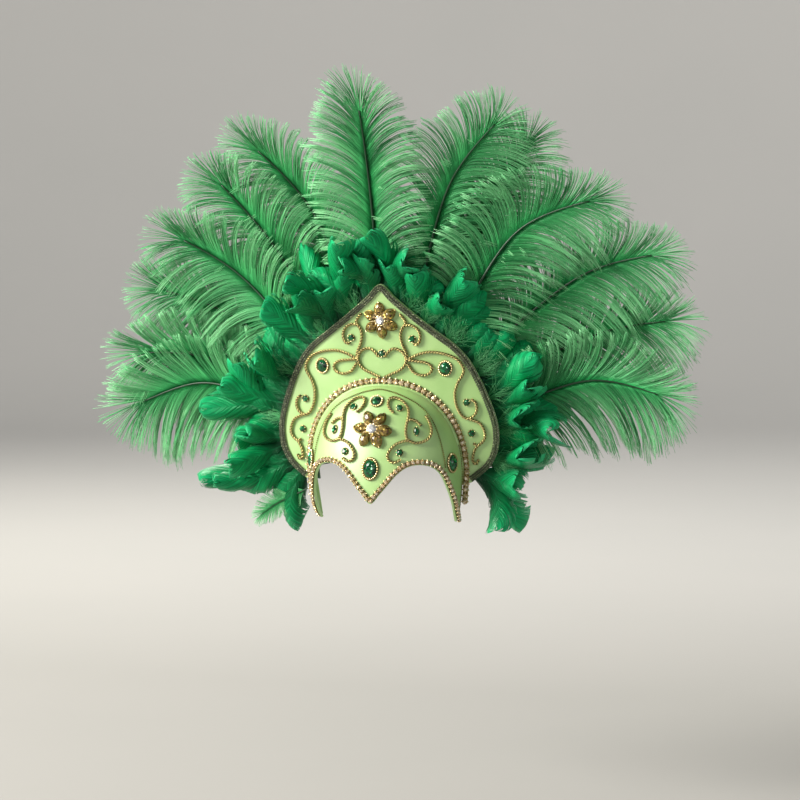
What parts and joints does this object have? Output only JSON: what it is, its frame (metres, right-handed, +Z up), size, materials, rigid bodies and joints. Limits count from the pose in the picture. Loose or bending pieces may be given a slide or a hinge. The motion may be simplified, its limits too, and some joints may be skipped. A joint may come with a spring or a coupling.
{
  "type": "carnival feather headdress",
  "caption": "Carnival headdress: a satin half cap and spade-shaped plate with stones and gold scrolls, a curled feather ruff and a fan of ostrich plumes.",
  "frame": {"origin": "middle of the head hollow at brow height, where the headdress sits on a head", "axes": "+Z up, -Y the way the wearer faces, +X to the right of someone who looks at the front"},
  "size_m": [0.641, 0.2402, 0.4593],
  "materials": {
    "satin": "lime green satin",
    "braid": "dark antique gold braid",
    "champagne": "cut champagne stones in gold cups",
    "gold_chain": "fine gold ball chain",
    "gold_cord": "twisted metallic gold cord",
    "emerald": "cut green acrylic stone in a gold setting",
    "amber": "amber petals round a white stone",
    "ruff": "broad curled green feathers",
    "plume": "green ostrich feather",
    "felt": "plain dark green felt",
    "elastic": "plain dark elastic"
  },
  "bodies": {
    "root": {"crown_cap": "satin", "back_plate": "satin", "edge_braid": "braid", "arch_trim": "champagne", "hem_trim": "champagne", "cap_chain": "gold_chain", "plate_scroll_left": "gold_cord", "plate_scroll_right": "gold_cord", "cap_scroll_left": "gold_cord", "cap_scroll_right": "gold_cord", "heart_gem": "emerald", "spiral_gem_left": "emerald", "spiral_gem_right": "emerald", "edge_gem_left": "emerald", "edge_gem_right": "emerald", "side_gem_left": "emerald", "side_gem_right": "emerald", "plate_oval_left": "emerald", "plate_oval_right": "emerald", "crown_gem": "emerald", "peak_oval": "emerald", "brow_gem_left": "emerald", "brow_gem_right": "emerald", "flank_gem_left": "emerald", "flank_gem_right": "emerald", "low_gem_left": "emerald", "low_gem_right": "emerald", "temple_oval_left": "emerald", "temple_oval_right": "emerald", "plate_flower": "amber", "cap_flower": "amber", "ruff_front": "ruff", "ruff_middle": "ruff", "ruff_back": "ruff", "plume_1": "plume", "plume_2": "plume", "plume_3": "plume", "plume_4": "plume", "plume_5": "plume", "plume_6": "plume", "plume_7": "plume", "plume_8": "plume", "plume_9": "plume", "plume_10": "plume", "plume_11": "plume", "plume_12": "plume", "plume_13": "plume", "back_board": "felt", "back_band": "elastic"}
  },
  "joints": []
}
